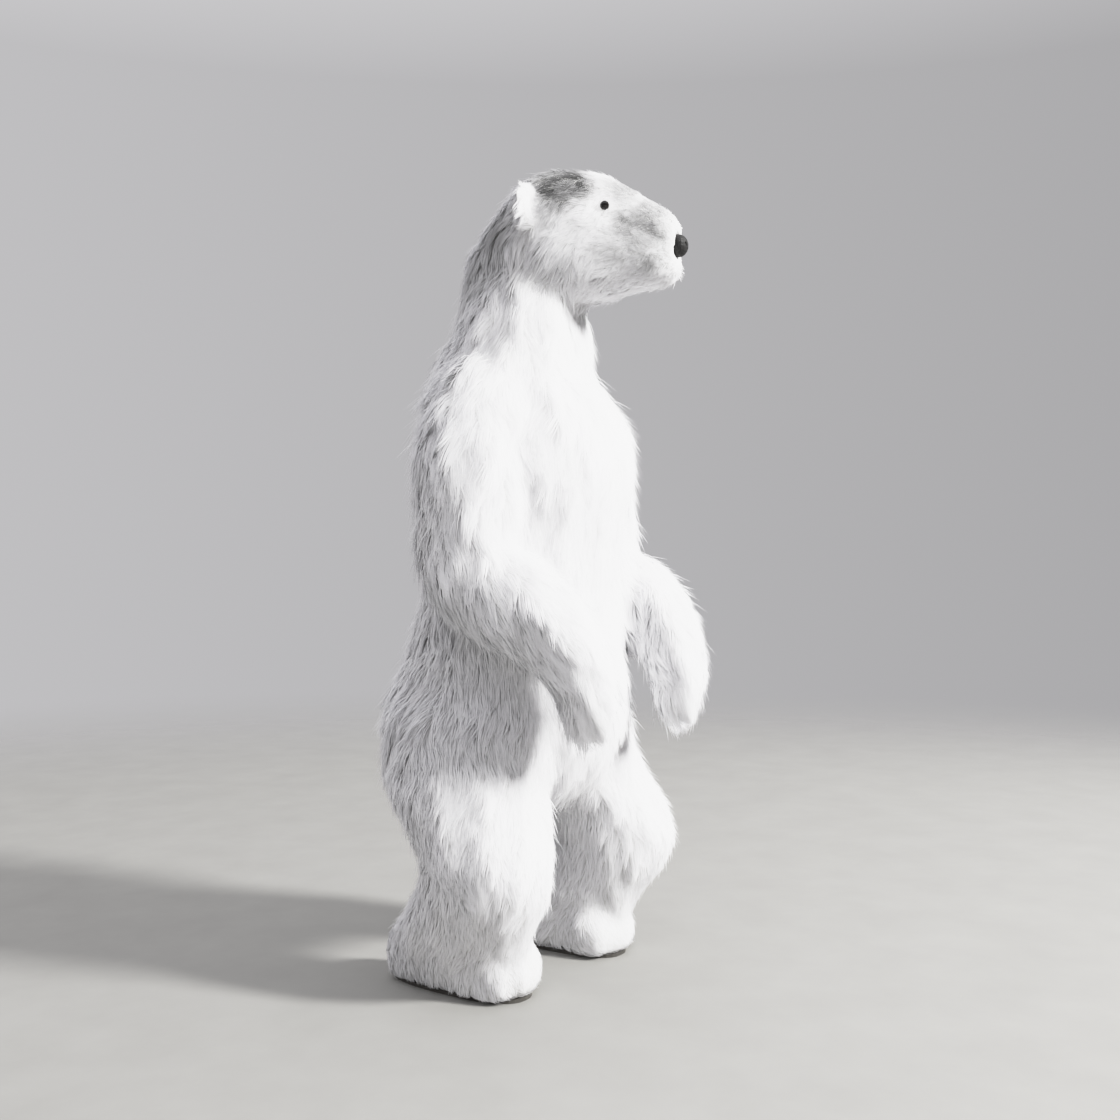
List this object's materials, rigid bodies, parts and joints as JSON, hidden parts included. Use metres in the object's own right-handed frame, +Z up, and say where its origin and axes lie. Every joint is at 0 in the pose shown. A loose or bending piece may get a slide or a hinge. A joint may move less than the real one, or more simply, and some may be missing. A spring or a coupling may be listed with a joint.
{
  "type": "standing bear figure",
  "caption": "Life-size bear figure in long white plush, standing upright on bent hind legs, forelegs hanging in front, head turned to its left, on flat dark soles.",
  "frame": {"origin": "on the floor, under the middle of the figure's bounding box", "axes": "+Z up; the trunk and the feet face -Y; the figure's own left is +X"},
  "size_m": [0.7248, 0.7022, 1.794],
  "materials": {
    "white_plush": "long white pile in overlapping locks, matt, short on the face and feet",
    "black_glass": "polished black ball",
    "black_nose": "moulded black nose pad with a fine grain and a dull sheen",
    "dark_sole": "thin dark felt"
  },
  "bodies": {
    "root": {"fur_body": "white_plush", "left_ear": "white_plush", "right_ear": "white_plush", "left_eye": "black_glass", "right_eye": "black_glass", "nose": "black_nose", "left_sole": "dark_sole", "right_sole": "dark_sole"}
  },
  "joints": []
}
